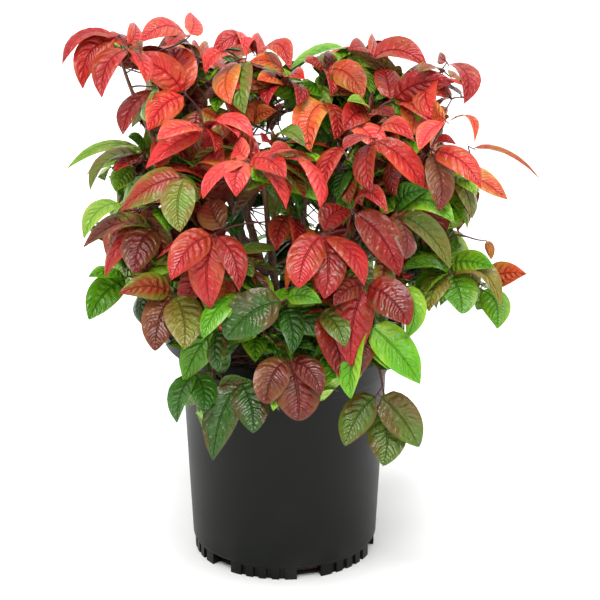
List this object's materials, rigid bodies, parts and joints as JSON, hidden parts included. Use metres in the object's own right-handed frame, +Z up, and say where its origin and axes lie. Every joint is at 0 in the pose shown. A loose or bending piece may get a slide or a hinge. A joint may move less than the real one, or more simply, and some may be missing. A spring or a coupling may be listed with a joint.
{
  "type": "heavenly bamboo shrub in a nursery pot",
  "caption": "Container-grown heavenly bamboo: slender canes fan out of a black nursery pot into an airy crown of arching, pointed leaflets in crimson, bronze and green.",
  "frame": {"origin": "centre of the pot's flat underside", "axes": "+Z up; the side of the shrub with the hanging leaves faces -Y, and +X is to its right as seen from that side"},
  "size_m": [0.4446, 0.3841, 0.5438],
  "materials": {
    "pot_plastic": "satin charcoal-black moulded plastic with light scuffs",
    "potting_mix": "dark crumbly bark mix",
    "cane_bark": "ridged brown bark, turning red and smooth towards the tips",
    "foliage_red": "glossy crimson and scarlet leaflets",
    "foliage_bronze": "glossy maroon and bronze leaflets",
    "foliage_green": "glossy mid-green and lime leaflets"
  },
  "bodies": {
    "root": {"pot": "pot_plastic", "potting_mix": "potting_mix", "cane_top_left": "cane_bark", "cane_top_middle_left": "cane_bark", "cane_top_middle": "cane_bark", "cane_top_right": "cane_bark", "cane_middle_left": "cane_bark", "cane_centre": "cane_bark", "cane_middle": "cane_bark", "cane_middle_right": "cane_bark", "cane_back_left": "cane_bark", "cane_back_right": "cane_bark", "bough_left_side": "cane_bark", "bough_left_low": "cane_bark", "bough_right_wing": "cane_bark", "bough_right_side": "cane_bark", "bough_lower_left": "cane_bark", "bough_hanging_left": "cane_bark", "bough_centre_left": "cane_bark", "bough_front_low": "cane_bark", "bough_hanging_front": "cane_bark", "bough_centre_right": "cane_bark", "bough_lower_right": "cane_bark", "bough_front_right_low": "cane_bark", "bough_hanging_right": "cane_bark", "bough_back_left_low": "cane_bark", "bough_back_middle": "cane_bark", "bough_back_right_low": "cane_bark", "bough_hanging_back": "cane_bark", "foliage_top_left": "foliage_red", "foliage_top_middle_left": "foliage_red", "foliage_top_middle": "foliage_green", "foliage_top_right": "foliage_red", "foliage_middle_left": "foliage_red", "foliage_centre": "foliage_red", "foliage_middle": "foliage_red", "foliage_middle_right": "foliage_red", "foliage_right_wing": "foliage_bronze", "foliage_left_side": "foliage_bronze", "foliage_right_side": "foliage_red", "foliage_lower_left": "foliage_bronze", "foliage_centre_left": "foliage_red", "foliage_centre_right": "foliage_red", "foliage_lower_right": "foliage_green", "foliage_front_low": "foliage_bronze", "foliage_front_right_low": "foliage_red", "foliage_hanging_left": "foliage_green", "foliage_hanging_front": "foliage_bronze", "foliage_hanging_right": "foliage_green", "foliage_left_low": "foliage_green", "foliage_back_left_high": "foliage_red", "foliage_back_right_high": "foliage_red", "foliage_back_left_low": "foliage_bronze", "foliage_back_middle": "foliage_green", "foliage_back_right_low": "foliage_green", "foliage_hanging_back": "foliage_green"}
  },
  "joints": []
}
